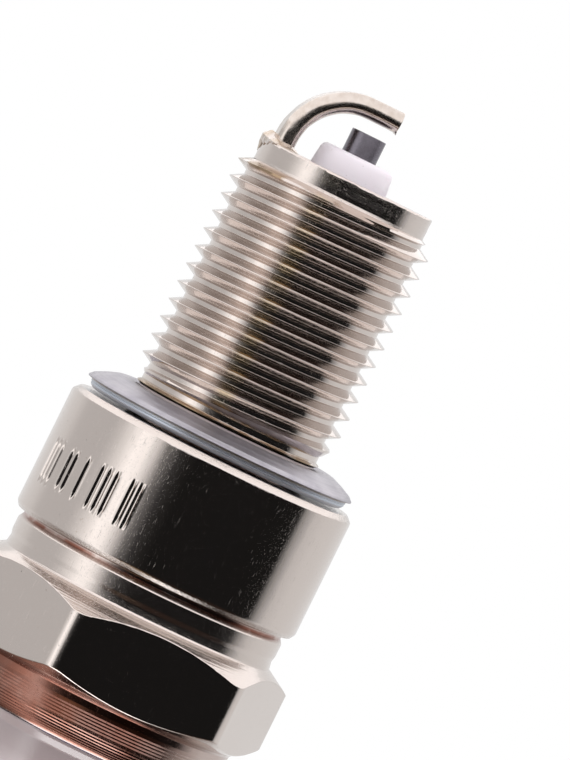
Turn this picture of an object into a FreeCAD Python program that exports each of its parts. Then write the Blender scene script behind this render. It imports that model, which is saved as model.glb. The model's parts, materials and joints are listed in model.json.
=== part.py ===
import FreeCAD, Part
import math
import os
import re
import Sketcher

# Spark plug, millimetres. The axis is Z with the terminal up; z = 0 is the gasket's sealing face.
Vector = FreeCAD.Vector
FLANK_ANGLE = math.radians(30)
CLOSE = 1e-4

SIZES = {
    # threaded end of the shell
    "pilot_radius": 6.0, "crest_radius": 6.9, "root_radius": 6.1, "neck_radius": 6.2,
    "bore_radius": 4.05, "shell_end_z": -17.5, "pilot_end_z": -16.07, "run_out_z": -1.6, "neck_z": -0.9,
    "lead_length": 0.45, "thread_pitch": 1.25, "groove_start_z": -17.55, "groove_height": 17.0,
    "groove_floor": 0.16, "ridge_radius": 6.5, "ridge_z": -0.35, "ridge_width": 0.3,
    # inner ledge that carries the insulator
    "ledge_radius": 3.75, "ledge_z": -9.0, "ledge_cone": 0.6, "seat_z": -7.2, "seat_rise": 0.58,
    "seat_slope": 0.58, "leg_bore_radius": 4.75, "body_bore_radius": 7.6, "bore_cone_z": 2.2,
    "bore_cone_end_z": 4.6,
    # barrel, neck, hexagon and rolled collar
    "barrel_radius": 9.87, "shoulder_z": 1.75, "barrel_end_z": 10.4, "barrel_edge": 0.4,
    "hex_neck_radius": 9.35, "hex_groove_radius": 9.12, "hex_groove_width": 0.22, "hex_z": 12.8,
    "hex_cone": 1.55, "hex_top_z": 18.7, "hex_top_cone": 1.09, "hex_blank_radius": 11.95,
    "hex_across_flats": 20.2, "hex_corner_radius": 1.5, "hex_turn": -6.8, "cut_margin": 1.0,
    "hex_top_radius": 9.73, "collar_radius": 9.45, "collar_step": 0.3, "collar_top_z": 22.0,
    "collar_bend": 1.6, "lip_radius": 6.9, "lip_under_z": 20.25, "lip_rise": 0.6,
    # insulator
    "nose_radius": 2.5, "nose_z": -19.04, "nose_edge": 0.35, "nose_root_radius": 3.45,
    "nose_root_z": -9.0, "seat_core_radius": 3.6, "insulator_leg_radius": 4.6, "belly_radius": 7.45,
    "belly_cone_z": 2.6, "belly_z": 5.0, "belly_top_z": 15.0, "stem_z": 16.2, "packed_radius": 6.3,
    "packed_top_z": 22.3, "stem_radius": 5.9, "stem_low_z": 22.8, "stem_top_z": 29.0, "rib_radius": 5.8,
    "valley_radius": 5.2, "rib_pitch": 2.1, "rib_crest": 0.9, "rib_slope": 0.45, "rib_count": 5,
    "throat_radius": 4.9, "throat_z": 41.2, "insulator_top_z": 42.5, "insulator_top_radius": 3.9,
    "core_bore_radius": 1.22, "stud_bore_radius": 2.0, "core_step_z": -4.0,
    # electrodes
    "core_radius": 1.18, "core_tip_z": -20.6, "core_head_radius": 1.85, "core_head_z": -2.0,
    "copper_radius": 0.75, "copper_tip_z": -19.2, "strap_thickness": 1.4, "strap_width": 2.5,
    "strap_edge": 0.45, "strap_offset": 4.7, "strap_straight": 0.6, "strap_bend": 4.03,
    "strap_reach": 1.35, "flash_angle": 46.0, "flash_radius": 6.12, "flash_height": 0.42,
    "flash_margin": 0.05, "flash_inner_step": 0.35, "flash_outer_step": 0.4, "flash_bulge": 0.1,
    # conductor column
    "resistor_z": 1.5, "resistor_top_z": 11.5, "glass_top_z": 16.0, "stud_foot_z": 13.0,
    "stud_foot_radius": 1.7, "shank_radius": 1.85, "flange_radius": 3.0, "flange_height": 0.8,
    "stud_radius": 2.0, "stud_root_radius": 1.57, "stud_pitch": 0.7, "stud_top_z": 50.2,
    "undercut_radius": 1.55, "undercut_height": 0.6, "stud_chamfer": 0.35, "stud_groove_floor": 0.08,
    # terminal nut
    "nut_bore_radius": 2.05, "nut_foot_radius": 3.6, "nut_foot_height": 1.6, "nut_waist_radius": 2.75,
    "nut_waist_z": 45.7, "nut_waist_top_z": 47.1, "nut_head_radius": 3.175, "nut_head_z": 47.7,
    "nut_top_z": 51.0, "nut_edge": 0.5, "nut_gap": 0.05,
    # folded gasket
    "gasket_bore_radius": 6.4, "gasket_lead": 0.12, "seal_radius": 7.0, "seal_width": 0.6,
    "gasket_radius": 9.33, "gasket_lower_radius": 8.96, "gasket_height": 1.45, "gasket_sheet": 0.36,
    "gasket_slope_z": 0.62, "gasket_slope_radius": 9.03, "gasket_rim_z": 0.92, "gasket_fold_z": 1.2,
    "gasket_mouth_radius": 6.9, "gasket_pocket_radius": 8.56, "gasket_pocket_z": 1.02,
    "gasket_pocket_low_z": 0.87,
    # packings
    "washer_margin": 0.05, "washer_height": 0.45, "ring_radius": 6.95, "ring_wire": 0.62,
    "lower_ring_z": 16.48, "upper_ring_z": 19.97,
}

doc = FreeCAD.newDocument("spark_plug")
sheet = doc.addObject("Spreadsheet::Sheet", "sizes")
for row, (alias, size) in enumerate(SIZES.items(), 1):
    sheet.set(f"A{row}", alias)
    sheet.set(f"B{row}", str(size))
    sheet.setAlias(f"B{row}", alias)
doc.recompute()


def amount(words):
    """Value of a sum of sizes and numbers, such as 'valley_z + 2 * rib_pitch'."""
    total = 0.0
    for term in words.replace(" - ", " + -").split(" + "):
        product = 1.0
        for factor in term.split(" * "):
            name = factor.lstrip("-")
            value = SIZES[name] if name in SIZES else float(name)
            product *= -value if factor.startswith("-") else value
        total += product
    return total


def bound(words):
    """The same sum as an expression on the sheet's cells."""
    return re.sub(r"[a-z][a-z_]+", lambda found: "sizes." + found.group(0), words)


def bind(item, **formulas):
    """Ties properties to the sheet; a double underscore stands for the dot in a property's path."""
    for path, words in formulas.items():
        item.setExpression(path.replace("__", "."), bound(words))
    return item


def origin_plane(body, role):
    return next(plane for plane in body.Origin.OriginFeatures if plane.Role == role)


def outline(body, label, points, role="XZ_Plane", closed=True):
    """Sketch of straight lines through points, each given as a pair of formulas."""
    sketch = body.newObject("Sketcher::SketchObject", label)
    sketch.AttachmentSupport = [(origin_plane(body, role), "")]
    sketch.MapMode = "FlatFace"
    places = [Vector(amount(across), amount(along), 0) for across, along in points]
    last = len(places) if closed else len(places) - 1
    for index in range(last):
        after = (index + 1) % len(places)
        sketch.addGeometry(Part.LineSegment(places[index], places[after]), False)
    for index in range(last if closed else last - 1):
        sketch.addConstraint(Sketcher.Constraint("Coincident", index, 2, (index + 1) % last, 1))
    for index, formulas in enumerate(points):
        edge, end = (index, 1) if index < last else (index - 1, 2)
        pin_point(sketch, edge, end, places[index], formulas)
    return sketch


def pin_point(sketch, edge, end, place, formulas):
    """Holds one end of an edge at its two coordinates, bound to the sheet."""
    for kind, axis, value, words in (("DistanceX", -2, place.x, formulas[0]),
                                     ("DistanceY", -1, place.y, formulas[1])):
        if words == "0":
            sketch.addConstraint(Sketcher.Constraint("PointOnObject", edge, end, axis))
        else:
            number = sketch.addConstraint(Sketcher.Constraint(kind, -1, 1, edge, end, value))
            sketch.setExpression(f"Constraints[{number}]", bound(words))


def turned(label, points, angle=360.0):
    """A turned piece: its half section, as (radius, height) formulas, revolved about Z."""
    body = doc.addObject("PartDesign::Body", label)
    sketch = outline(body, label + "_section", points)
    turning = body.newObject("PartDesign::Revolution", label + "_turning")
    turning.Profile = sketch
    turning.ReferenceAxis = (sketch, ["V_Axis"])
    turning.Angle = angle
    doc.recompute()
    return body


def circle_edges(shape, radius, height):
    """Names of the circular edges of one radius at one height."""
    names = []
    for number, edge in enumerate(shape.Edges, 1):
        curve = edge.Curve
        if isinstance(curve, Part.Circle) and abs(curve.Radius - radius) < CLOSE \
                and abs(curve.Center.z - height) < CLOSE:
            names.append(f"Edge{number}")
    return names


def dress(body, kind, size, radius, height):
    """Rounds or chamfers a turned piece's rim."""
    base = body.Tip
    feature = body.newObject("PartDesign::" + kind, f"{body.Label}_{kind.lower()}_{len(body.Group)}")
    feature.Base = (base, circle_edges(base.Shape, amount(radius), amount(height)))
    bind(feature, **{"Radius" if kind == "Fillet" else "Size": size})
    body.Tip = feature
    doc.recompute()


def cut(label, base, tool):
    """One solid less another."""
    result = doc.addObject("Part::Cut", label)
    result.Base = base
    result.Tool = tool
    doc.recompute()
    return result


def thread_groove(label, crest, root, pitch, floor, start, height):
    """The V groove of a right-hand metric thread, as a solid to cut away."""
    beyond = amount(crest) + 0.1
    inner = amount(root)
    half_floor = amount(floor) / 2
    half_mouth = half_floor + (beyond - inner) * math.tan(FLANK_ANGLE)
    section = doc.addObject("Part::Feature", label + "_section")
    section.Shape = Part.makePolygon([Vector(inner, 0, -half_floor), Vector(inner, 0, half_floor),
                                      Vector(beyond, 0, half_mouth), Vector(beyond, 0, -half_mouth),
                                      Vector(inner, 0, -half_floor)])
    helix = doc.addObject("Part::Helix", label + "_helix")
    helix.Style = "New style"
    helix.SegmentLength = 1
    bind(helix, Pitch=pitch, Height=height, Radius=crest)
    for item in (section, helix):
        bind(item, Placement__Base__z=start)
    doc.recompute()
    groove = doc.addObject("Part::Sweep", label)
    groove.Sections = [section]
    groove.Spine = (helix, [])
    groove.Solid = True
    groove.Frenet = True
    doc.recompute()
    return groove


def hexagon_waste():
    """What is milled off the turned blank to leave the wrench hexagon."""
    blank = doc.addObject("Part::Cylinder", "hex_blank")
    bind(blank, Radius="hex_blank_radius + cut_margin", Height="hex_top_z - hex_z", Placement__Base__z="hex_z")
    prism = doc.addObject("Part::Prism", "hex_prism")
    prism.Polygon = 6
    prism.Placement = FreeCAD.Placement(Vector(), FreeCAD.Rotation(Vector(0, 0, 1), SIZES["hex_turn"]))
    bind(prism, Circumradius="hex_across_flats / 3 ^ 0.5", Height="hex_top_z - hex_z + 2 * cut_margin",
         Placement__Base__z="hex_z - cut_margin")
    doc.recompute()
    rounded = doc.addObject("Part::Fillet", "hex_bar")
    rounded.Base = prism
    corner = SIZES["hex_corner_radius"]
    rounded.Edges = [(number, corner, corner) for number, edge in enumerate(prism.Shape.Edges, 1)
                     if abs(edge.tangentAt(edge.FirstParameter).z) > 0.9]
    doc.recompute()
    return cut("hex_waste", blank, rounded)


def make_shell():
    blank = turned("shell_blank", [
        ("bore_radius", "shell_end_z"), ("pilot_radius", "shell_end_z"), ("pilot_radius", "pilot_end_z"),
        ("crest_radius", "pilot_end_z + lead_length"), ("crest_radius", "run_out_z"),
        ("neck_radius", "neck_z"), ("neck_radius", "ridge_z"),
        ("ridge_radius", "ridge_z + 0.5 * ridge_width"),
        ("neck_radius", "ridge_z + ridge_width"), ("neck_radius", "shoulder_z"),
        ("barrel_radius - barrel_edge", "shoulder_z"), ("barrel_radius", "shoulder_z + barrel_edge"),
        ("barrel_radius", "barrel_end_z - barrel_edge"), ("barrel_radius - barrel_edge", "barrel_end_z"),
        ("hex_groove_radius", "barrel_end_z"), ("hex_groove_radius", "barrel_end_z + hex_groove_width"),
        ("hex_neck_radius", "barrel_end_z + 2 * hex_groove_width"), ("hex_neck_radius", "hex_z"),
        ("hex_blank_radius", "hex_z + hex_cone"), ("hex_blank_radius", "hex_top_z - hex_top_cone"),
        ("hex_top_radius", "hex_top_z"), ("collar_radius", "hex_top_z + collar_step"),
        ("collar_radius", "collar_top_z"), ("lip_radius", "collar_top_z"),
        ("lip_radius", "lip_under_z + lip_rise"), ("body_bore_radius", "lip_under_z"),
        ("body_bore_radius", "bore_cone_end_z"), ("leg_bore_radius", "bore_cone_z"),
        ("leg_bore_radius", "seat_z + seat_rise"), ("ledge_radius", "seat_z"),
        ("ledge_radius", "ledge_z + ledge_cone"), ("bore_radius", "ledge_z")])
    dress(blank, "Fillet", "collar_bend", "collar_radius", "collar_top_z")
    milled = cut("shell_milled", blank, hexagon_waste())
    groove = thread_groove("shell_groove", "crest_radius", "root_radius", "thread_pitch", "groove_floor",
                           "groove_start_z", "groove_height")
    return cut("shell", milled, groove)


def make_ground_electrode():
    """A flat strap welded to the shell's end face and bent over the centre electrode."""
    body = doc.addObject("PartDesign::Body", "ground_electrode")
    inner = "strap_offset - 0.5 * strap_thickness"
    outer = "strap_offset + 0.5 * strap_thickness"
    section = outline(body, "strap_section", [
        (inner, "-0.5 * strap_width"), (outer, "-0.5 * strap_width"),
        (outer, "0.5 * strap_width"), (inner, "0.5 * strap_width")], role="XY_Plane")
    bind(section, AttachmentOffset__Base__z="shell_end_z")
    spine = body.newObject("Sketcher::SketchObject", "strap_route")
    spine.AttachmentSupport = [(origin_plane(body, "XZ_Plane"), "")]
    spine.MapMode = "FlatFace"
    offset, bend = SIZES["strap_offset"], SIZES["strap_bend"]
    foot = Vector(offset, SIZES["shell_end_z"], 0)
    spring = foot - Vector(0, SIZES["strap_straight"], 0)
    centre = spring - Vector(bend, 0, 0)
    top = centre - Vector(0, bend, 0)
    tip = Vector(-SIZES["strap_reach"], top.y, 0)
    spine.addGeometry(Part.LineSegment(foot, spring), False)
    spine.addGeometry(Part.ArcOfCircle(Part.Circle(centre, Vector(0, 0, 1), bend), -math.pi / 2, 0), False)
    spine.addGeometry(Part.LineSegment(top, tip), False)
    for first, end, second, other in ((0, 2, 1, 2), (1, 1, 2, 1)):
        spine.addConstraint(Sketcher.Constraint("Coincident", first, end, second, other))
    pin_point(spine, 0, 1, foot, ("strap_offset", "shell_end_z"))
    pin_point(spine, 0, 2, spring, ("strap_offset", "shell_end_z - strap_straight"))
    pin_point(spine, 2, 1, top,
              ("strap_offset - strap_bend", "shell_end_z - strap_straight - strap_bend"))
    pin_point(spine, 2, 2, tip, ("-strap_reach", "shell_end_z - strap_straight - strap_bend"))
    radius = spine.addConstraint(Sketcher.Constraint("Radius", 1, bend))
    spine.setExpression(f"Constraints[{radius}]", bound("strap_bend"))
    doc.recompute()
    strap = body.newObject("PartDesign::AdditivePipe", "strap")
    strap.Profile = section
    strap.Spine = (spine, ["Edge1", "Edge2", "Edge3"])
    doc.recompute()
    # every edge that runs along the strap, and none that crosses it
    long_edges = [f"Edge{number}" for number, edge in enumerate(strap.Shape.Edges, 1)
                  if edge.BoundBox.YLength < CLOSE and abs(edge.Length - SIZES["strap_thickness"]) > CLOSE]
    rounding = body.newObject("PartDesign::Fillet", "strap_rounding")
    rounding.Base = (strap, long_edges)
    bind(rounding, Radius="strap_edge")
    body.Tip = rounding
    doc.recompute()
    return body


def make_weld_flash(strap):
    """The bead of metal pressed out around the strap's foot."""
    inner = "bore_radius + flash_margin"
    bead = turned("flash_bead", [
        (inner, "shell_end_z"), ("flash_radius", "shell_end_z"),
        ("flash_radius - flash_bulge", "shell_end_z - 0.6 * flash_height"),
        ("flash_radius - flash_bulge - flash_outer_step", "shell_end_z - flash_height"),
        (inner + " + flash_inner_step", "shell_end_z - flash_height"),
        (inner, "shell_end_z - 0.5 * flash_height")], angle=SIZES["flash_angle"])
    half_turn = FreeCAD.Rotation(Vector(0, 0, 1), -SIZES["flash_angle"] / 2)
    bead.Placement = FreeCAD.Placement(Vector(), half_turn)
    return cut("weld_flash", bead, strap)


def make_centre_electrode():
    return turned("centre_electrode", [
        ("0", "core_tip_z"), ("core_radius", "core_tip_z"), ("core_radius", "core_step_z"),
        ("core_head_radius", "core_step_z"), ("core_head_radius", "core_head_z"),
        ("copper_radius", "core_head_z"), ("copper_radius", "copper_tip_z"), ("0", "copper_tip_z")])


def cylinder(label, radius, low, high):
    rod = doc.addObject("Part::Cylinder", label)
    return bind(rod, Radius=radius, Height=f"{high} - {low}", Placement__Base__z=low)


def make_insulator():
    """Alumina body: firing nose, belly held in the shell, plain stem, ribs and the terminal's seat."""
    seat = "seat_z + washer_height - seat_slope * ledge_radius"
    ribs = []
    for number in range(SIZES["rib_count"]):
        start = f"stem_top_z + {number} * rib_pitch"
        ribs += [("valley_radius", f"{start} + rib_slope"),
                 ("rib_radius", f"{start} + 2 * rib_slope"),
                 ("rib_radius", f"{start} + 2 * rib_slope + rib_crest"),
                 ("valley_radius", f"{start} + 3 * rib_slope + rib_crest")]
    ribs[0] = ("valley_radius", "stem_top_z + rib_slope + stem_radius - rib_radius")
    body = turned("insulator", [
        ("core_bore_radius", "nose_z"), ("nose_radius", "nose_z"), ("nose_root_radius", "nose_root_z"),
        ("seat_core_radius", "nose_root_z + ledge_cone"),
        ("seat_core_radius", f"{seat} + seat_slope * seat_core_radius"),
        ("insulator_leg_radius", f"{seat} + seat_slope * insulator_leg_radius"),
        ("insulator_leg_radius", "belly_cone_z"), ("belly_radius", "belly_z"), ("belly_radius", "belly_top_z"),
        ("packed_radius", "stem_z"), ("packed_radius", "packed_top_z"),
        ("stem_radius", "stem_low_z"), ("stem_radius", "stem_top_z")] + ribs + [
        ("throat_radius", "throat_z"), ("insulator_top_radius", "insulator_top_z"),
        ("stud_bore_radius", "insulator_top_z"), ("stud_bore_radius", "core_step_z"),
        ("core_bore_radius", "core_step_z")])
    dress(body, "Fillet", "nose_edge", "nose_radius", "nose_z")
    return body


def make_terminal_stud():
    """Steel pin set in the upper glass, with a flange on the insulator and an M4 thread above it."""
    blank = turned("stud_blank", [
        ("0", "stud_foot_z"), ("stud_foot_radius", "stud_foot_z"), ("stud_foot_radius", "glass_top_z"),
        ("shank_radius", "glass_top_z"), ("shank_radius", "insulator_top_z"),
        ("flange_radius", "insulator_top_z"), ("flange_radius", "insulator_top_z + flange_height"),
        ("undercut_radius", "insulator_top_z + flange_height"),
        ("undercut_radius", "insulator_top_z + flange_height + undercut_height"),
        ("stud_radius", "insulator_top_z + flange_height + undercut_height + stud_chamfer"),
        ("stud_radius", "stud_top_z - stud_chamfer"), ("stud_radius - stud_chamfer", "stud_top_z"),
        ("0", "stud_top_z")])
    groove = thread_groove("stud_groove", "stud_radius", "stud_root_radius", "stud_pitch",
                           "stud_groove_floor", "insulator_top_z + flange_height + 0.5 * undercut_height",
                           "stud_top_z - insulator_top_z - flange_height")
    return cut("terminal_stud", blank, groove)


def make_terminal_nut():
    """Waisted cap nut that the ignition lead's clip snaps over."""
    foot = "insulator_top_z + flange_height + nut_gap"
    return turned("terminal_nut", [
        ("nut_bore_radius", foot), ("nut_foot_radius", foot),
        ("nut_foot_radius", f"{foot} + nut_foot_height"),
        ("nut_waist_radius", "nut_waist_z"), ("nut_waist_radius", "nut_waist_top_z"),
        ("nut_head_radius", "nut_head_z"), ("nut_head_radius", "nut_top_z - nut_edge"),
        ("nut_head_radius - nut_edge", "nut_top_z"), ("nut_bore_radius", "nut_top_z")])


def make_gasket():
    """Sheet steel folded into a C, open inwards; its flat ring at z = 0 seals on the cylinder head."""
    return turned("gasket", [
        ("gasket_bore_radius", "gasket_lead"), ("seal_radius", "0"), ("seal_radius + seal_width", "0"),
        ("gasket_slope_radius", "gasket_slope_z"), ("gasket_radius", "gasket_rim_z"),
        ("gasket_lower_radius", "gasket_fold_z"), ("gasket_lower_radius", "gasket_height"),
        ("gasket_mouth_radius", "gasket_height"), ("gasket_mouth_radius", "gasket_height - gasket_sheet"),
        ("gasket_pocket_radius", "gasket_pocket_z"), ("gasket_pocket_radius", "gasket_pocket_low_z"),
        ("seal_radius + seal_width", "gasket_sheet"), ("gasket_bore_radius", "gasket_lead + gasket_sheet")])


def make_packings():
    """Seat washer below the belly; wire ring, talc and wire ring between belly and rolled lip."""
    washer = turned("inner_seat_washer", [
        ("ledge_radius + washer_margin", "seat_z + seat_slope * washer_margin"),
        ("leg_bore_radius - washer_margin", "seat_z + seat_rise - seat_slope * washer_margin"),
        ("leg_bore_radius - washer_margin", "seat_z + seat_rise + washer_height - seat_slope * washer_margin"),
        ("ledge_radius + washer_margin", "seat_z + washer_height + seat_slope * washer_margin")])
    rings = []
    for label, height in (("lower_packing_ring", "lower_ring_z"), ("upper_packing_ring", "upper_ring_z")):
        ring = doc.addObject("Part::Torus", label)
        rings.append(bind(ring, Radius1="ring_radius", Radius2="ring_wire", Placement__Base__z=height))
    talc = turned("talc_packing", [
        ("packed_radius", "lower_ring_z + ring_wire"), ("body_bore_radius", "lower_ring_z + ring_wire"),
        ("body_bore_radius", "upper_ring_z - ring_wire"), ("packed_radius", "upper_ring_z - ring_wire")])
    return [washer, talc] + rings


def make_glass_seals():
    lower = cylinder("lower_glass_seal", "stud_bore_radius", "core_head_z", "resistor_z")
    upper = turned("upper_glass_seal", [
        ("0", "resistor_top_z"), ("stud_bore_radius", "resistor_top_z"), ("stud_bore_radius", "glass_top_z"),
        ("stud_foot_radius", "glass_top_z"), ("stud_foot_radius", "stud_foot_z"), ("0", "stud_foot_z")])
    return [lower, upper]


strap = make_ground_electrode()
pieces = [make_shell(), strap, make_weld_flash(strap), make_centre_electrode(),
          cylinder("centre_electrode_core", "copper_radius", "copper_tip_z", "core_head_z"),
          make_insulator(), cylinder("resistor", "stud_bore_radius", "resistor_z", "resistor_top_z"),
          make_terminal_stud(), make_terminal_nut(), make_gasket()]
pieces += make_glass_seals() + make_packings()
doc.recompute()

for item in doc.Objects:
    if "Invalid" in item.State or "Error" in item.State:
        raise RuntimeError(f"{item.Label} failed: {item.State}")
for piece in pieces:
    if piece.Shape.isNull() or not piece.Shape.isValid() or len(piece.Shape.Solids) != 1:
        raise RuntimeError(f"{piece.Label} is not one valid solid")

os.makedirs("parts", exist_ok=True)
for piece in pieces:
    piece.Shape.exportStep(f"parts/{piece.Label}.step")
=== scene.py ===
import json
import math
from functools import partial

import bmesh
import bpy
from mathutils import Matrix, Vector, noise


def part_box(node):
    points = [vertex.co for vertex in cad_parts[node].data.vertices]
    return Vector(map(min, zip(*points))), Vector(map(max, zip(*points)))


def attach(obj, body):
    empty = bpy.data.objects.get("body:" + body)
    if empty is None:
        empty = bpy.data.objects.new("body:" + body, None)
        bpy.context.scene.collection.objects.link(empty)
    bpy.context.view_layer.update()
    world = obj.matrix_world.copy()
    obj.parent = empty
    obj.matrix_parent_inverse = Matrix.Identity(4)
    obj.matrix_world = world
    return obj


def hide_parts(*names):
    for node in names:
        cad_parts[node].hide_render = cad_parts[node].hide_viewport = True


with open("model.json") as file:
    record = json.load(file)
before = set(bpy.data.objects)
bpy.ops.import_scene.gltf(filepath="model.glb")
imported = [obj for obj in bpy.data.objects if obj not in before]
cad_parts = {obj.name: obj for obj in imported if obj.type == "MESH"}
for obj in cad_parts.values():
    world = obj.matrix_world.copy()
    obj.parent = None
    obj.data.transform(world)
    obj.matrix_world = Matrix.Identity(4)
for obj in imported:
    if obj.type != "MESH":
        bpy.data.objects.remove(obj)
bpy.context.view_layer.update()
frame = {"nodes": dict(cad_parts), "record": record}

mm = 0.001
scene = bpy.context.scene
slotOf = {part["node"]: part["material_slot"] for part in frame["record"]["subparts"]}

# heights are counted up from the shell's end face and radii from the plug's axis, all in millimetres
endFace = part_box("shell")[0].z / mm


def roundedPath(points, closed=False, steps=4):
    # points are (radius, height, rounding); each rounded corner becomes a short arc
    path = []
    count = len(points)
    for index, (radius, height, rounding) in enumerate(points):
        here = Vector((radius, height))
        if rounding <= 0 or (not closed and index in (0, count - 1)):
            path.append(here)
            continue
        before = Vector(points[index - 1][:2]) - here
        after = Vector(points[(index + 1) % count][:2]) - here
        turn = math.pi - before.angle(after)
        cutBack = min(rounding * math.tan(turn / 2), 0.45 * before.length, 0.45 * after.length)
        start, end = here + before.normalized() * cutBack, here + after.normalized() * cutBack
        for step in range(steps):
            t = step / (steps - 1)
            path.append(start * (1 - t) ** 2 + here * 2 * t * (1 - t) + end * t ** 2)
    return path


def roundPoint(radius, height, angle):
    return Vector((radius * math.cos(angle), radius * math.sin(angle), height + endFace)) * mm


def addLathe(mesh, sectionAt, angles, closed):
    # one section per angle, joined into a skin all the way round
    columns = [[mesh.verts.new(roundPoint(point[0], point[1], angle)) for point in sectionAt(angle)]
               for angle in angles]
    for column, nextColumn in zip(columns, columns[1:] + columns[:1]):
        rows = len(column) if closed else len(column) - 1
        for row in range(rows):
            after = (row + 1) % len(column)
            mesh.faces.new((column[row], nextColumn[row], nextColumn[after], column[after]))


def addThread(mesh, thread, angles, radiusAt):
    # rows follow the helix, so crest and root lines stay crisp; rows that run out are squeezed onto the ends
    turn = 2 * math.pi
    low, high, pitch = thread["low"], thread["high"], thread["pitch"]
    phases = thread["phases"]
    turns = range(-1, int((high - low) / pitch) + 2)
    levels = [low + (number + phase) * pitch for number in turns for phase in phases]
    columns = []
    for angle in angles + [angles[0] + turn]:
        lift = pitch * (angle - angles[0]) / turn
        heights = [min(max(level + lift, low), high) for level in levels]
        spots = [roundPoint(radiusAt(height, angle), height, angle) for height in heights]
        columns.append([mesh.verts.new(spot) for spot in spots])
    for column, nextColumn in zip(columns, columns[1:]):
        for row in range(len(levels) - 1):
            mesh.faces.new((column[row], nextColumn[row], nextColumn[row + 1], column[row + 1]))


def makePiece(name, mesh, finish, body, node, sharpAngle=38):
    bmesh.ops.remove_doubles(mesh, verts=mesh.verts, dist=0.0004 * mm)
    bmesh.ops.dissolve_degenerate(mesh, edges=mesh.edges, dist=0.0002 * mm)
    bmesh.ops.recalc_face_normals(mesh, faces=mesh.faces)
    data = bpy.data.meshes.new(name)
    mesh.to_mesh(data)
    mesh.free()
    data.shade_smooth()
    data.set_sharp_from_angle(angle=math.radians(sharpAngle))
    piece = bpy.data.objects.new(name, data)
    scene.collection.objects.link(piece)
    data.materials.append(finish)
    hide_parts(node)
    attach(piece, body)
    print("made", name, len(data.polygons), "faces")
    return piece


def evenAngles(count):
    return [2 * math.pi * step / count for step in range(count)]


def smooth(value, low, high):
    t = min(max((value - low) / (high - low), 0), 1)
    return t * t * (3 - 2 * t)


def phasesFrom(crestHeight, low, pitch, phases):
    # rows of one turn as shares of the pitch, shifted to start on the crest at the first angle
    start = (crestHeight - low) % pitch / pitch
    return tuple(sorted((phase + start) % 1 for phase in phases))


shell = {"pilotRadius": 6.0, "pilotTop": 1.43, "crestRadius": 6.9, "rootRadius": 6.1, "neckRadius": 6.2,
         "threadTop": 16.75, "pitch": 1.25, "crestTurn": 8.0, "crestHeight": 3.1, "crestSoft": 0.022,
         "rootSoft": 0.03, "rootRise": 0.0075, "flankAngle": 30, "leadLength": 0.45, "runOut": 15.9,
         "ridge": (17.15, 17.3, 17.45), "ridgeRadius": 6.5, "shoulder": 19.25, "barrelRadius": 9.87,
         "barrelTop": 27.9, "chamfer": 0.4, "grooveRadius": 9.12, "waistRadius": 9.25, "bulgeRadius": 9.34,
         "neckTop": 30.3, "coneSlope": 0.596, "acrossFlats": 20.2, "hexCorner": 1.5, "hexTurn": -6.8,
         "hexTop": 36.2, "hexTopRadius": 9.73, "topConeSlope": 0.49, "collarRadius": 9.45, "collarTop": 39.5,
         "collarBend": 1.6, "ridgeCount": 17, "ridgeDepth": 0.04, "lipRadius": 6.9, "lipLow": 38.35,
         "cavityRadius": 7.6, "cavity": (22.1, 37.75), "boreRadius": 4.75, "bore": (10.88, 19.7),
         "ledgeRadius": 3.75, "ledge": (9.1, 10.3), "mouthRadius": 4.05, "mouthTop": 8.5}


def hexToLinear(code):
    channels = [int(code[start:start + 2], 16) / 255 for start in (1, 3, 5)]
    linear = [c / 12.92 if c <= 0.04045 else ((c + 0.055) / 1.055) ** 2.4 for c in channels]
    return linear + [1.0]


def addNode(tree, kind, *values, sockets=None, output=0, **settings):
    # values go to the sockets in order, and sockets names any others; gives back one of the node's outputs
    node = tree.nodes.new("ShaderNode" + kind)
    for name, value in settings.items():
        setattr(node, name, value)
    for socket, value in [*enumerate(values), *(sockets or {}).items()]:
        if isinstance(value, bpy.types.NodeSocket):
            tree.links.new(value, node.inputs[socket])
        else:
            node.inputs[socket].default_value = value
    return node.outputs[output] if node.outputs else None


def startMaterial(name):
    material = bpy.data.materials.new(name)
    material.use_nodes = True
    material.node_tree.nodes.clear()
    add = partial(addNode, material.node_tree)
    return material, add, add("TexCoord", output="Object")


def endMaterial(add, **sockets):
    shader = add("BsdfPrincipled", sockets={name.replace("_", " "): value for name, value in sockets.items()})
    add("OutputMaterial", shader)


def patches(add, place, width, detail=3.0, roughness=0.55, stretch=None):
    # cloudy pattern whose patches are this wide in millimetres, drawn out along the axes with a small stretch
    if stretch:
        place = add("Mapping", sockets={"Vector": place, "Scale": stretch})
    fineness = 1 / (width * mm)
    return add("TexNoise", sockets={"Vector": place, "Scale": fineness, "Detail": detail,
                                    "Roughness": roughness})


def layColours(add, ground, *layers):
    # layers of (amount, colour) painted over the ground one after another
    colour = hexToLinear(ground)
    for amount, tint in layers:
        tint = hexToLinear(tint) if isinstance(tint, str) else tint
        colour = add("Mix", sockets={0: amount, 6: colour, 7: tint}, output=2, data_type="RGBA")
    return colour


def layRelief(add, *layers):
    # layers of (pattern, real height in millimetres), each laid over the one before
    under = {}
    for pattern, depth in layers:
        under = {"Normal": add("Bump", sockets={"Height": pattern, "Distance": depth * mm, **under})}
    return under["Normal"]


def heightAndRadius(add, place):
    # height up from the shell's end face and distance from the axis, both in millimetres
    x, y, z = [add("SeparateXYZ", place, output=axis) for axis in "XYZ"]
    height = add("Math", z, 1 / mm, -endFace, operation="MULTIPLY_ADD")
    flat = add("CombineXYZ", x, y)
    radius = add("VectorMath", flat, operation="LENGTH", output="Value")
    return height, add("Math", radius, 1 / mm, operation="MULTIPLY")


def zone(add, value, low, high, edge):
    # 1 between two values, fading out over the edge
    up = add("MapRange", value, low - edge, low + edge)
    down = add("MapRange", value, high - edge, high + edge, 1.0, 0.0)
    return add("Math", up, down, operation="MULTIPLY")


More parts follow.
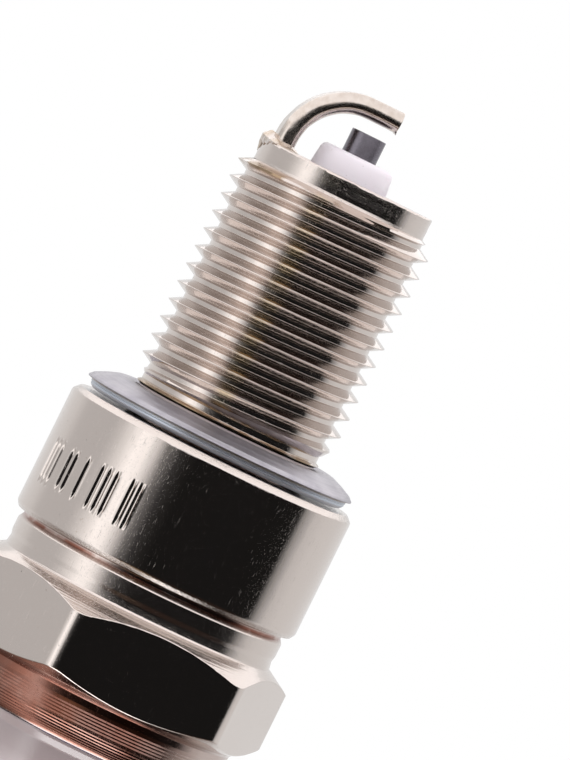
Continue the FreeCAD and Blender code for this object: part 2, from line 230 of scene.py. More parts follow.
# heights in millimetres and sides in degrees round the axis
# the copper colour stands for the copper strike and also for painted brown shade and reflection
# the grey-blue is painted shade on the rolled lip's edge
# the pale gold is a painted reflection down one side
plateLook = {"plate": "#D4CAC4", "stain": "#8A6A38", "strikeAndShade": "#8C5E50", "goldReflection": "#E3D6B6",
             "lip": "#54566A", "speckShade": "#4A413B", "runIn": (1.5, 2.0), "runInSide": (-88, 10),
             "ridge": (17.1, 17.45), "collar": (36.15, 39.36), "groove": (28.0, 28.35),
             "lipEdge": (39.38, 39.8), "paleSide": -165, "goldReflectionOnPilot": (0.1, 0.95),
             "goldReflectionOnThread": (1.6, 16.4), "goldReflectionSide": (-79, -68.5), "pilot": (-0.1, 1.4),
             "neck": (28.35, 30.2), "cone": (30.2, 31.8), "lowDents": (19.2, 19.62),
             "highDents": (27.6, 27.95), "toolPitch": 0.11, "turnedPitch": 0.14, "waviness": 1.6,
             "pinhole": 0.09, "scratch": 0.035, "speckGap": 0.9, "dent": 0.2}


def makeBrightNickel():
    # bright nickel plate on turned steel: a warm grey mirror with tool lines, pinholes, scratches and brown
    # stains, its copper strike showing at the collar, and painted shade and reflections: a browner side and
    # groove, a golden streak and a grey-blue lip edge
    look = plateLook
    material, add, place = startMaterial("brightNickelPlate")
    height, radius = heightAndRadius(add, place)
    x, y = [add("SeparateXYZ", place, output=axis) for axis in "XY"]
    around = add("Math", add("Math", y, x, operation="ARCTAN2"), 180 / math.pi, operation="MULTIPLY")
    broad = patches(add, place, 2.2, 4.0)
    fine = patches(add, place, 0.28, 4.0, 0.65)

    # brown stains gather at the thread's run-in and along the gasket's ridge, and lie about as drops
    runIn = add("Math", zone(add, height, *look["runIn"], 0.1), zone(add, around, *look["runInSide"], 10),
                operation="MULTIPLY")
    seam = add("Math", runIn, zone(add, height, *look["ridge"], 0.08), operation="MAXIMUM")
    stain = add("Math", seam, add("MapRange", broad, 0.4, 0.5), operation="MULTIPLY")
    drops = add("Math", add("MapRange", fine, 0.66, 0.72), add("MapRange", broad, 0.5, 0.62),
                operation="MULTIPLY")
    stain = add("Math", stain, add("Math", drops, 0.7, operation="MULTIPLY"), operation="MAXIMUM")
    specks = add("TexVoronoi", sockets={"Vector": place, "Scale": 1 / (look["speckGap"] * mm)},
                 output="Distance")
    specks = add("Math", add("MapRange", specks, 0.05, 0.035), add("MapRange", fine, 0.5, 0.56),
                 operation="MULTIPLY")

    # the copper strike shows at the collar; its brown is laid on heavier on one side as painted brown
    # reflection and paler on the other
    strikeAndShade = add("Math", zone(add, height, *look["collar"], 0.1),
                 add("MapRange", broad, 0.3, 0.62, 0.85, 1.0), operation="MULTIPLY")
    # painted brown shadow in the groove under the barrel, in the same copper colour
    groove = add("Math", zone(add, height, *look["groove"], 0.12),
                 add("MapRange", broad, 0.35, 0.55, 0.3, 1.0), operation="MULTIPLY")
    facing = math.radians(look["paleSide"])
    paleFacing = add("Math", add("Math", x, math.cos(facing), operation="MULTIPLY"),
                  add("Math", y, math.sin(facing), operation="MULTIPLY"))
    paleFacing = add("Math", paleFacing, add("Math", radius, mm, operation="MULTIPLY"), operation="DIVIDE")
    strikeAndShade = add("Math", strikeAndShade, add("MapRange", paleFacing, 0.5, 0.9, 1.0, 0.35), operation="MULTIPLY")
    strikeAndShade = add("Math", strikeAndShade, groove, operation="MAXIMUM")

    # a faint painted golden reflection streaked down one side of the pilot and the thread
    along = add("Math", zone(add, height, *look["goldReflectionOnPilot"], 0.12),
                zone(add, height, *look["goldReflectionOnThread"], 0.2), operation="MAXIMUM")
    goldReflection = add("Math", along, zone(add, around, *look["goldReflectionSide"], 2.5), operation="MULTIPLY")
    goldReflection = add("Math", goldReflection, add("MapRange", broad, 0.35, 0.65, 0.2, 0.5), operation="MULTIPLY")
    # painted shade: the rolled lip's edge is laid in dark grey-blue
    colour = layColours(add, look["plate"], (add("Math", stain, 0.75, operation="MULTIPLY"), look["stain"]),
                        (strikeAndShade, look["strikeAndShade"]), (goldReflection, look["goldReflection"]),
                        (zone(add, height, *look["lipEdge"], 0.05), look["lip"]),
                        (add("Math", specks, 0.6, operation="MULTIPLY"), look["speckShade"]))

    # the cone between neck and hexagon is turned and duller, and so are the neck and the pilot
    coneStart = shell["neckTop"] - (shell["waistRadius"] + 0.1) * shell["coneSlope"]
    aboveCone = add("Math", height, add("Math", radius, shell["coneSlope"], operation="MULTIPLY"),
                    operation="SUBTRACT")
    aboveCone = add("Math", aboveCone, coneStart, operation="SUBTRACT")
    cone = add("Math", zone(add, aboveCone, -0.08, 0.08, 0.03), zone(add, height, *look["cone"], 0.05),
               operation="MULTIPLY")
    neck = zone(add, height, *look["neck"], 0.1)
    dull = add("Math", zone(add, height, *look["pilot"], 0.1), add("Math", neck, 1.1, operation="MULTIPLY"),
               operation="MAXIMUM")
    dull = add("Math", dull, add("Math", cone, 1.6, operation="MULTIPLY"))
    roughness = add("MapRange", fine, 0.35, 0.75, 0.065, 0.14)
    for extra, amount in ((add("Math", stain, strikeAndShade, operation="MAXIMUM"), 0.12), (dull, 0.06)):
        roughness = add("Math", roughness, add("Math", extra, amount, operation="MULTIPLY"))

    scratches = [add("MapRange", patches(add, place, look["scratch"], 1.0, stretch=stretch), 0.72, 0.8)
                 for stretch in ((0.05, 1.0, 0.3), (1.0, 0.3, 0.04))]
    nicks = add("Math", add("Math", *scratches, operation="MAXIMUM"), specks, operation="MAXIMUM")
    pits = add("MapRange", patches(add, place, look["pinhole"], 2.0, 0.5), 0.62, 0.75)
    turned = add("Math", cone, patches(add, place, look["turnedPitch"], 1.0, stretch=(0.01, 0.01, 1.0)),
                 operation="MULTIPLY")
    edges = add("Math", zone(add, height, *look["lowDents"], 0.08),
                zone(add, height, *look["highDents"], 0.06), operation="MAXIMUM")
    dents = add("Math", edges, patches(add, place, look["dent"], 4.0, 0.7), operation="MULTIPLY")
    rings = patches(add, place, look["toolPitch"], 2.0, 0.6, stretch=(0.02, 0.02, 1.0))
    waves = patches(add, place, look["waviness"], 2.0)
    relief = layRelief(add, (rings, 0.0012), (pits, -0.003), (nicks, -0.003), (turned, 0.02), (dents, 0.03),
                       (waves, 0.006))
    endMaterial(add, Base_Color=colour, Metallic=1.0, Roughness=roughness, Normal=relief)
    return material


def makeGrainedMetal(name, tint, dark, grain, depth, low, high):
    # drawn, pressed or rolled metal: patchy tint and a fine grain, its width and depth in millimetres
    material, add, place = startMaterial(name)
    grains = patches(add, place, grain, 4.0, 0.7)
    cloud = add("MapRange", patches(add, place, grain * 9, 3.0), 0.35, 0.7)
    endMaterial(add, Base_Color=layColours(add, tint, (cloud, dark)), Metallic=1.0,
                Roughness=add("MapRange", grains, 0.3, 0.75, low, high),
                Normal=layRelief(add, (grains, depth)))
    return material


# the paler blue and the yellowish rim colour are painted highlights
zincLook = {"zinc": "#B4B1B7", "shade": "#A19EA6", "paleBlueHighlight": "#B9C0CB", "rim": "#A89A74",
            "paleBlueHighlightFrom": (18.55, 18.62), "goldHighlightAt": (18.46, 18.56), "ringPitch": 0.09, "grain": 0.09, "cloud": 1.8}


def makeZincPlate():
    # bright blue-passivated zinc on rolled sheet: satin rings left by forming, with painted highlights: a
    # yellowish line at the rim's edge and a paler blue beyond it
    look = zincLook
    material, add, place = startMaterial("bluePassivatedZinc")
    height, radius = heightAndRadius(add, place)
    ringPlace = add("CombineXYZ", radius, 0.0, height)
    rings = add("TexNoise", sockets={"Vector": ringPlace, "Scale": 1 / look["ringPitch"], "Detail": 3.0})
    grains = patches(add, place, look["grain"], 3.0)
    cloud = add("MapRange", patches(add, place, look["cloud"], 4.0), 0.35, 0.65)
    # painted highlight: a patchy yellowish line at the rim's edge
    rim = add("Math", zone(add, height, *look["goldHighlightAt"], 0.03), add("MapRange", grains, 0.42, 0.6),
              operation="MULTIPLY")
    # painted highlight: paler blue beyond the rim's edge
    colour = layColours(add, look["zinc"], (cloud, look["shade"]),
                        (add("MapRange", height, *look["paleBlueHighlightFrom"]), look["paleBlueHighlight"]), (rim, look["rim"]))
    endMaterial(add, Base_Color=colour, Metallic=1.0, Roughness=add("MapRange", rings, 0.3, 0.7, 0.3, 0.46),
                Normal=layRelief(add, (rings, 0.03), (grains, 0.006)))
    return material


# the darker stem colour is painted shade next to the collar
ceramicLook = {"bare": "#E9E3EA", "glazed": "#E3D9DA", "paintedStemShade": "#AFA1A1", "soot": "#9C8C8A", "grit": 0.12,
               "speck": 0.16, "glazeFrom": (38.0, 39.0), "paintedShadeUntil": (41.5, 45.0)}


def makeAlumina():
    # alumina ceramic: matt and faintly lilac where it is bare at the nose, clear glaze over white on the stem,
    # with painted shade darkening the stem next to the collar
    look = ceramicLook
    material, add, place = startMaterial("aluminaCeramic")
    height = heightAndRadius(add, place)[0]
    glazed = add("MapRange", height, *look["glazeFrom"])
    grit = patches(add, place, look["grit"], 3.0, 0.6)
    specks = add("Math", add("MapRange", patches(add, place, look["speck"], 2.0), 0.72, 0.78),
                 add("MapRange", glazed, 0.0, 1.0, 1.0, 0.0), operation="MULTIPLY")
    # painted shade: the stem is darker next to the collar and turns to the glazed white further up
    stem = layColours(add, look["paintedStemShade"], (add("MapRange", height, *look["paintedShadeUntil"]), look["glazed"]))
    colour = layColours(add, look["bare"], (glazed, stem),
                        (add("Math", specks, 0.7, operation="MULTIPLY"), look["soot"]))
    fade = add("MapRange", glazed, 0.0, 1.0, 0.8, 0.05)
    relief = add("Bump", sockets={"Height": grit, "Distance": 0.004 * mm, "Strength": fade})
    endMaterial(add, Base_Color=colour, Roughness=add("MapRange", glazed, 0.0, 1.0, 0.55, 0.07),
                Normal=relief, IOR=1.76, Subsurface_Weight=0.15, Subsurface_Radius=(0.0009, 0.0007, 0.0008),
                Subsurface_Scale=0.6)
    return material


def makePressedPowder():
    # talc pressed into a ring: dry white grains
    look = {"talc": "#E4E1D8", "shade": "#CFCABD", "grain": 0.1}
    material, add, place = startMaterial("pressedTalc")
    grains = patches(add, place, look["grain"], 4.0, 0.7)
    colour = layColours(add, look["talc"], (add("MapRange", grains, 0.3, 0.7), look["shade"]))
    endMaterial(add, Base_Color=colour, Roughness=0.95, Normal=layRelief(add, (grains, 0.02)))
    return material


def makeDarkGlass(name, tint, bubble, bubbleTint="#4A4642"):
    # fused glass and carbon: black, glassy, with small paler bubbles of this width in millimetres
    material, add, place = startMaterial(name)
    bubbles = patches(add, place, bubble, 2.0)
    colour = layColours(add, tint, (add("MapRange", bubbles, 0.45, 0.7), bubbleTint))
    endMaterial(add, Base_Color=colour, Roughness=0.22, IOR=1.52, Normal=layRelief(add, (bubbles, 0.01)))
    return material


print("making materials")
finishes = {
    "nickel_plate": makeBrightNickel(),
    # grained metals: tint, darker tint, grain width, grain depth, lowest and highest roughness
    "nickel_alloy_strap": makeGrainedMetal("drawnNickelStrip", "#D6CDC6", "#C6BAB0", 0.06, 0.0025, 0.12, 0.26),
    "weld_metal": makeGrainedMetal("pressedWeldMetal", "#DCD3CE", "#C4B29C", 0.1, 0.006, 0.14, 0.3),
    "nickel_alloy_core": makeGrainedMetal("croppedNickelRod", "#77737B", "#6F6A72", 0.05, 0.0012, 0.22, 0.32),
    "copper": makeGrainedMetal("drawnCopper", "#C98463", "#B06A4B", 0.08, 0.003, 0.25, 0.4),
    "glazed_alumina": makeAlumina(),
    "conductive_glass": makeDarkGlass("copperGlassSeal", "#2B2724", 0.3),
    "resistor_glass": makeDarkGlass("carbonGlassResistor", "#1A1817", 0.5),
    "stud_steel": makeGrainedMetal("rolledStudSteel", "#C9C5BC", "#AFA99D", 0.08, 0.002, 0.18, 0.3),
    "terminal_plate": makeGrainedMetal("platedTerminal", "#D6CFC3", "#C8C0B2", 0.3, 0.002, 0.1, 0.18),
    "zinc_plate": makeZincPlate(),
    "packing_steel": makeGrainedMetal("packingWire", "#A7A6A3", "#8C8A86", 0.07, 0.004, 0.3, 0.45),
    "talc": makePressedPowder(),
}

for node, part in frame["nodes"].items():
    part.data.materials.clear()
    part.data.materials.append(finishes[slotOf[node]])


marks = {"low": 22.85, "high": 25.6, "first": -64.5,
         "steps": (0, 3.4, 10.5, 13.9, 17.3, 25, 32, 35.4, 43, 46.4, 49.8), "halfWidth": 1.05,
         "depth": 0.13, "raised": 0.015, "rows": 14}


def hexRadius(angle):
    # distance from the axis to the rounded hexagon's side
    apothem, corner = shell["acrossFlats"] / 2, shell["hexCorner"]
    offset = math.radians(shell["hexTurn"])
    fromCorner = abs((angle - offset + math.pi / 6) % (math.pi / 3) - math.pi / 6)
    centre = (apothem - corner) / math.cos(math.pi / 6)
    tangent = math.atan2(corner / 2, centre + corner * math.cos(math.pi / 6))
    if fromCorner < tangent:
        across = centre * math.sin(fromCorner)
        return centre * math.cos(fromCorner) + math.sqrt(corner ** 2 - across ** 2)
    return apothem / math.cos(math.pi / 6 - fromCorner)


def shellAngles():
    # closer together round the hexagon's corners and across each stamped mark
    angles = {round(angle, 6) for angle in evenAngles(216)}
    for corner in range(6):
        middle = math.radians(shell["hexTurn"] + 60 * corner)
        angles.update(round((middle + math.radians(0.5 * step)) % (2 * math.pi), 6) for step in range(-9, 10))
    for step in marks["steps"]:
        middle = math.radians(marks["first"] + step)
        half = math.radians(marks["halfWidth"])
        angles.update(round((middle + half * part / 4) % (2 * math.pi), 6) for part in range(-5, 6))
    ordered = sorted(angles)
    return [angle for before, angle in zip([-1.0] + ordered, ordered) if angle - before > 0.0012]


def markDepth(angle, height):
    # a stamped stroke with rounded ends and a slightly raised edge
    endFade = smooth(height, marks["low"] - 0.15, marks["low"] + 0.2)
    endFade *= 1 - smooth(height, marks["high"] - 0.2, marks["high"] + 0.15)
    degrees = math.degrees(angle)
    for step in marks["steps"]:
        away = abs((degrees - marks["first"] - step + 180) % 360 - 180) / marks["halfWidth"]
        if away < 1.3:
            groove = marks["depth"] * (1 - smooth(away, 0.15, 0.95))
            raised = marks["raised"] * smooth(away, 0.85, 1.0) * (1 - smooth(away, 1.05, 1.3))
            return (groove - raised) * endFade
    return 0.0


def worn(angle, seed, base, spread):
    # rounding of a knocked rim, uneven round its edge
    here = Vector((math.cos(angle) * 6, math.sin(angle) * 6, seed))
    return base + spread * (noise.noise(here) + 0.6 * noise.noise(here * 4.1))


def shellSection(angle):
    # from the thread's end up the outside, over the rolled lip and down the bore to the end face
    s = shell
    side = hexRadius(angle)
    barrel, shoulder, top = s["barrelRadius"], s["shoulder"], s["barrelTop"]
    path = [(s["neckRadius"], s["threadTop"], 0), (s["neckRadius"], s["ridge"][0], 0.05),
            (s["ridgeRadius"], s["ridge"][1], 0.12), (s["neckRadius"], s["ridge"][2], 0.05),
            (s["neckRadius"], shoulder, 0.1), (barrel - s["chamfer"], shoulder, worn(angle, 1, 0.12, 0.05)),
            (barrel, shoulder + s["chamfer"], worn(angle, 2, 0.25, 0.16)), (barrel, marks["low"] - 0.26, 0)]
    for row in range(marks["rows"] + 1):
        height = marks["low"] - 0.2 + (marks["high"] - marks["low"] + 0.4) * row / marks["rows"]
        path.append((barrel - markDepth(angle, height), height, 0))
    path += [(barrel, marks["high"] + 0.26, 0), (barrel, top - 0.35, 0.3), (barrel - 0.22, top, 0.1),
             (s["grooveRadius"], top + 0.06, 0.06), (s["grooveRadius"], top + 0.3, 0.1),
             (s["bulgeRadius"], top + 0.62, 0.25), (s["bulgeRadius"], top + 1.5, 0.6),
             (s["waistRadius"], top + 1.85, 0.3), (s["waistRadius"] + 0.1, s["neckTop"], 0.12)]
    low = s["neckTop"] + (side - s["waistRadius"] - 0.1) * s["coneSlope"]
    high = s["hexTop"] - (side - s["hexTopRadius"]) * s["topConeSlope"]
    path += [(side, low, worn(angle, 3, 0.1, 0.05)), (side, (low + high) / 2, 0),
             (side, high, worn(angle, 4, 0.12, 0.06)), (s["hexTopRadius"], s["hexTop"], 0.1),
             (s["collarRadius"] + 0.08, s["hexTop"] + 0.18, 0.1),
             (s["collarRadius"] + 0.05, s["hexTop"] + 0.6, 0.1)]
    path += collarRidges()
    path += [(s["lipRadius"] + 0.35, s["collarTop"], 0.15), (s["lipRadius"], s["collarTop"] - 0.2, 0.12),
             (s["lipRadius"], s["lipLow"], 0.1), (s["cavityRadius"], s["cavity"][1], 0.1),
             (s["cavityRadius"], s["cavity"][0], 0.2), (s["boreRadius"], s["bore"][1], 0.2),
             (s["boreRadius"], s["bore"][0], 0.1), (s["ledgeRadius"], s["ledge"][1], 0.1),
             (s["ledgeRadius"], s["ledge"][0], 0.1), (s["mouthRadius"], s["mouthTop"], 0.1),
             (s["mouthRadius"], 4.0, 0), (s["mouthRadius"], 0, 0.12),
             (s["pilotRadius"], 0, worn(angle, 5, 0.13, 0.08)), (s["pilotRadius"] - 0.02, 0.5, 0.3),
             (s["pilotRadius"] - 0.01, 0.95, 0.1), (s["pilotRadius"] - 0.025, 1.25, 0.1),
             (s["pilotRadius"], s["pilotTop"], 0)]
    return roundedPath(path)


def collarRidges():
    # fine lathe-turned ridges that follow the collar as it rolls inwards, four rows to a ridge
    ridges, start, top, bend = [], shell["hexTop"] + 0.75, shell["collarTop"], shell["collarBend"]
    radius, steps = shell["collarRadius"], 4 * shell["ridgeCount"]
    straight = top - bend - start
    for step in range(steps + 1):
        along = (straight + bend * math.pi / 2) * step / steps
        lift = shell["ridgeDepth"] * (0.0, 0.5, 1.0, 0.5)[step % 4]
        if along < straight:
            ridges.append((radius - lift, start + along, 0))
            continue
        turn = (along - straight) / bend
        deep = bend - lift
        ridges.append((radius - bend + deep * math.cos(turn), top - bend + deep * math.sin(turn), 0))
    return ridges


def shellThreadRadius(height, angle):
    # rolled thread: narrow rounded crest, straight flanks, rounded root, cut off by its run-in and run-out
    s = shell
    crestAt = s["crestHeight"] + s["pitch"] * (angle - math.radians(s["crestTurn"])) / (2 * math.pi)
    away = abs((height - crestAt + s["pitch"] / 2) % s["pitch"] - s["pitch"] / 2)
    steep = 1 / math.tan(math.radians(s["flankAngle"]))
    soft = 2 * s["crestSoft"]
    drop = steep * away ** 2 / (2 * soft) if away < soft else steep * (away - s["crestSoft"])
    flank = s["crestRadius"] - drop
    blend = max(0.0, s["rootSoft"] - abs(flank - s["rootRadius"])) / s["rootSoft"]
    groove = max(flank, s["rootRadius"]) + s["rootRise"] * blend ** 2
    pilot = s["pilotRadius"]
    lead = pilot + (height - s["pilotTop"]) * (s["crestRadius"] - pilot) / s["leadLength"]
    fade = smooth(height, s["runOut"] - 0.2, s["threadTop"])
    groove = groove * (1 - fade) + max(groove, s["neckRadius"]) * fade
    fall = (s["crestRadius"] - s["neckRadius"]) / (s["threadTop"] - s["runOut"])
    tail = s["crestRadius"] - max(0.0, height - s["runOut"]) * fall
    return max(min(groove, lead, tail), pilot)


def makeShell():
    mesh = bmesh.new()
    angles = shellAngles()
    addLathe(mesh, shellSection, angles, closed=False)
    low, pitch = shell["pilotTop"], shell["pitch"]
    firstCrest = shell["crestHeight"] - pitch * math.radians(shell["crestTurn"]) / (2 * math.pi)
    # rows lie closest across the crest and the two edges of the root
    phases = (0, 0.009, 0.0176, 0.0264, 0.0352, 0.15, 0.27, 0.365, 0.378, 0.387, 0.396, 0.41, 0.5, 0.59,
              0.604, 0.613, 0.622, 0.635, 0.73, 0.85, 0.9648, 0.9736, 0.9824, 0.991)
    thread = {"low": low, "high": shell["threadTop"], "pitch": pitch,
              "phases": phasesFrom(firstCrest, low, pitch, phases)}
    addThread(mesh, thread, angles, shellThreadRadius)
    return makePiece("threadedShell", mesh, finishes["nickel_plate"], "plug", "shell")


gasket = {"bore": 6.42, "inner": 17.62, "sealRadius": 7.0, "seal": 17.5, "sealWidth": 0.6, "coneRadius": 8.3,
          "cone": 17.78, "brimRadius": 9.06, "brim": 18.14, "rimRadius": 9.33, "rimHeight": 18.42,
          "edge": ((9.04, 0.12), (8.99, 0.19), (9.03, 0.25)), "lowerRadius": 8.96, "undersideRadius": 8.78,
          "bottom": 19.06, "foldInner": 6.9, "foldTop": 18.62, "foldOuter": 8.5, "foldEnd": (18.52, 18.4),
          "innerRadius": 7.6, "sheet": 0.36, "sway": 0.02}


def gasketSection(angle):
    # sheet folded back under itself: sealing bead, cone, thin rim, grooved edge, flat underside, folded end
    g = gasket
    sway = g["sway"] * noise.noise(Vector((math.cos(angle), math.sin(angle), 7)))
    rim = g["rimHeight"] + sway
    path = [(g["bore"], g["inner"], 0.08), (g["sealRadius"], g["seal"] + 0.01, 0.25),
            (g["sealRadius"] + g["sealWidth"], g["seal"] + 0.02, 0.6),
            (g["coneRadius"], g["cone"] + sway, 0.4), (g["brimRadius"], g["brim"] + sway, 0.3),
            (g["rimRadius"], rim - 0.02, 0.05), (g["rimRadius"] - 0.02, rim + 0.05, 0.04)]
    path += [(radius, rim + below, 0.05 if below < 0.15 else 0.04) for radius, below in g["edge"]]
    path += [(g["lowerRadius"], rim + 0.31, 0.03), (g["lowerRadius"] + 0.02, rim + 0.42, 0.08),
             (g["undersideRadius"], g["bottom"], 0.12), (g["foldInner"], g["bottom"], 0.08),
             (g["foldInner"], g["foldTop"], 0.08), (g["foldOuter"], g["foldEnd"][0], 0.05),
             (g["foldOuter"], g["foldEnd"][1], 0.05), (g["innerRadius"], g["inner"] + g["sheet"], 0.3),
             (g["bore"], g["inner"] + g["sheet"], 0.08)]
    return roundedPath(path, closed=True)


def makeGasket():
    mesh = bmesh.new()
    addLathe(mesh, gasketSection, evenAngles(256), closed=True)
    return makePiece("foldedGasket", mesh, finishes["zinc_plate"], "gasket", "gasket")


strap = {"foot": 4.7, "straight": 0.6, "bend": 4.03, "reach": 1.35, "halfThickness": 0.7, "halfWidth": 1.27,
         "roundness": 2.5, "outerSwell": 0.82, "rooted": 0.35, "bendSteps": 28, "ringSpots": 64,
         "shear": ((0.10, 1.0), (0.03, 0.985), (0.0, 0.93), (-0.005, 0.6), (-0.01, 0.2)),
         "burr": (-0.10, 0, 0.28), "burrFrom": (-4.2, -3.93), "waviness": (0.012, 0.006)}


def strapRoute():
    # centre line in the plane of the strap: (out, away from the end face), with the direction along it
    s = strap
    top, arm = s["straight"] + s["bend"], s["foot"] - s["bend"]
    route = [(Vector((s["foot"], -s["rooted"])), Vector((0, 1)))]
    route += [(Vector((s["foot"], s["straight"] * step / 3)), Vector((0, 1))) for step in range(1, 4)]
    for step in range(1, s["bendSteps"] + 1):
        turn = math.pi / 2 * step / s["bendSteps"]
        spot = Vector((arm + s["bend"] * math.cos(turn), s["straight"] + s["bend"] * math.sin(turn)))
        route.append((spot, Vector((-math.sin(turn), math.cos(turn)))))
    route += [(Vector((arm + (-s["reach"] - arm) * step / 8, top)), Vector((-1, 0))) for step in range(1, 9)]
    return route


def strapRing(centre, along, shrink):
    # one rounded-oblong slice of the strap, square to its route
    s = strap
    outward = Vector((along.y, -along.x))
    power = 2 / s["roundness"]
    ring = []
    for step in range(s["ringSpots"]):
        turn = 2 * math.pi * step / s["ringSpots"]
        # the outer face is flat with crisp edges, the inner one fully rounded
        swell = s["outerSwell"] if math.cos(turn) > 0 else s["halfThickness"]
        deep = math.copysign(abs(math.cos(turn)) ** power, math.cos(turn)) * swell
        deep = min(deep, s["halfThickness"]) * shrink
        halfWidth = s["halfWidth"] - (1 - shrink) * s["halfThickness"]
        wide = math.copysign(abs(math.sin(turn)) ** power, math.sin(turn)) * halfWidth
        spot = centre + outward * deep
        ring.append(Vector((spot.x, wide, spot.y)))
    return ring


def makeGroundElectrode():
    mesh = bmesh.new()
    route = strapRoute()
    tip, along = route[-1]
    rings = [strapRing(centre, direction, 1.0) for centre, direction in route[:-1]]
    # sheared tip: rolled over on the outer side, a burr on the inner side
    for back, shrink in strap["shear"]:
        rings.append(strapRing(tip + Vector((back, 0)), along, shrink))
    columns = []
    for number, ring in enumerate(rings):
        column = []
        for spot in ring:
            broad, fine = strap["waviness"]
            wobble = broad * noise.noise(spot * 1.3) + fine * noise.noise(spot * 4.0)
            place = Vector((spot.x + wobble, spot.y * (1 + wobble), -spot.z - wobble))
            if number >= len(rings) - 4:
                ragged = max(0.0, noise.noise(Vector((spot.y * 2.2, 3, 1))) + 0.25)
                place += Vector(strap["burr"]) * smooth(-spot.z, *strap["burrFrom"]) * ragged
            column.append(mesh.verts.new(Vector((place.x, place.y, place.z + endFace)) * mm))
        columns.append(column)
    for column, nextColumn in zip(columns, columns[1:]):
        for row in range(len(column)):
            after = (row + 1) % len(column)
            mesh.faces.new((column[row], column[after], nextColumn[after], nextColumn[row]))
    for column in (columns[0], columns[-1]):
        mesh.faces.new(column)
    return makePiece("groundStrap", mesh, finishes["nickel_alloy_strap"], "plug", "ground_electrode", 50)


flash = {"halfAngle": 25.0, "slices": 72, "inner": 4.12, "ridge": (4.6, 5.3, 5.75), "outer": 6.02,
         "outerLump": 0.17, "skirt": (6.01, 5.99), "under": 5.93, "rise": 0.68, "hang": 1.25,
         "thinnest": (0.02, 0.03), "lumps": ((0.05, 2.6), (0.025, 6.5))}


def flashSection(share):
    # share runs from -1 to 1 across the flash; (radius, height) outline of the metal there
    f = flash
    swell = max(f["thinnest"][0], (1 - abs(share) ** 3.0))
    lump = noise.noise(Vector((share * 5, 1.7, 0)))
    rise = f["rise"] * swell * (0.75 + 0.5 * lump)
    hang = f["hang"] * swell * (0.55 + 0.5 * noise.noise(Vector((share * 4, 9.1, 0))) + 0.55 * share)
    hang = max(hang, f["thinnest"][1])
    outer = f["outer"] + f["outerLump"] * swell * (0.8 + 0.6 * lump)
    path = [(f["inner"], 0.02, 0.02), (f["inner"] + 0.05, -rise * 0.6, 0.1), (f["ridge"][0], -rise, 0.2),
            (f["ridge"][1], -rise * 0.85, 0.3), (f["ridge"][2], -rise * 1.05, 0.15),
            (outer, -rise * 0.4, 0.15), (outer, hang * 0.35, 0.1),
            (f["skirt"][0] + 0.06 * swell, hang * 0.8, 0.1), (f["skirt"][1], hang, 0.03),
            (f["under"], 0.03, 0.02)]
    return swell, roundedPath(path, closed=True)


def makeWeldFlash():
    # metal squeezed out round the strap's foot, lapping over the shell's rim
    mesh = bmesh.new()
    columns = []
    for number in range(flash["slices"] + 1):
        share = number / flash["slices"] * 2 - 1
        angle = math.radians(flash["halfAngle"]) * share
        outward = Vector((math.cos(angle), math.sin(angle), 0))
        swell, section = flashSection(share)
        column = []
        for spot in section:
            place = Vector((spot.x * math.cos(angle), spot.x * math.sin(angle), spot.y))
            rough = sum(height * swell * noise.noise(place * fineness) for height, fineness in flash["lumps"])
            if spot.y < -0.03 or spot.x > 6.0:
                place += outward * rough + Vector((0, 0, -abs(rough) * 0.8))
            column.append(mesh.verts.new(Vector((place.x, place.y, place.z + endFace)) * mm))
        columns.append(column)
    for column, nextColumn in zip(columns, columns[1:]):
        for row in range(len(column)):
            after = (row + 1) % len(column)
            mesh.faces.new((column[row], nextColumn[row], nextColumn[after], column[after]))
    for column in (columns[0], columns[-1]):
        mesh.faces.new(column)
    return makePiece("weldFlash", mesh, finishes["weld_metal"], "plug", "weld_flash", 60)


rod = {"tip": -3.1, "flat": 0.7, "radius": 1.18, "step": 13.5, "headRadius": 1.85, "headTop": 15.5,
       "coreRadius": 0.75, "coreTip": -1.7}


def makeCentreElectrode():
    r = rod
    path = [(0, r["tip"], 0), (r["flat"], r["tip"], 0), (r["radius"], r["tip"] + 0.01, 0.05),
            (r["radius"], r["step"] - 2, 0), (r["radius"], r["step"], 0.05),
            (r["headRadius"], r["step"], 0.1), (r["headRadius"], r["headTop"], 0.1),
            (r["coreRadius"], r["headTop"], 0.05), (r["coreRadius"], r["coreTip"], 0.05),
            (0, r["coreTip"], 0)]
    section = roundedPath(path)
    mesh = bmesh.new()
    addLathe(mesh, lambda angle: section, evenAngles(96), closed=False)
    return makePiece("centreElectrode", mesh, finishes["nickel_alloy_core"], "plug", "centre_electrode")


ceramic = {"noseRadius": 2.5, "bore": 1.22, "tip": -1.54, "noseRoot": 3.45, "noseTop": 8.5, "seatRadius": 3.6,
           "seat": (9.1, 10.66), "bodyRadius": 4.6, "body": (11.24, 20.1), "flangeRadius": 7.45,
           "flange": (22.5, 32.5), "shoulderRadius": 6.3, "shoulder": (33.7, 39.8), "stem": 5.9,
           "stemLow": 40.3, "stemTop": 46.5, "rib": 5.8, "valley": 5.2, "ribPitch": 2.1, "ribCount": 5,
           "throat": 4.9, "throatAt": 58.7, "topRadius": 3.9, "top": 60.0, "wideBore": 2.0, "boreStep": 13.5}


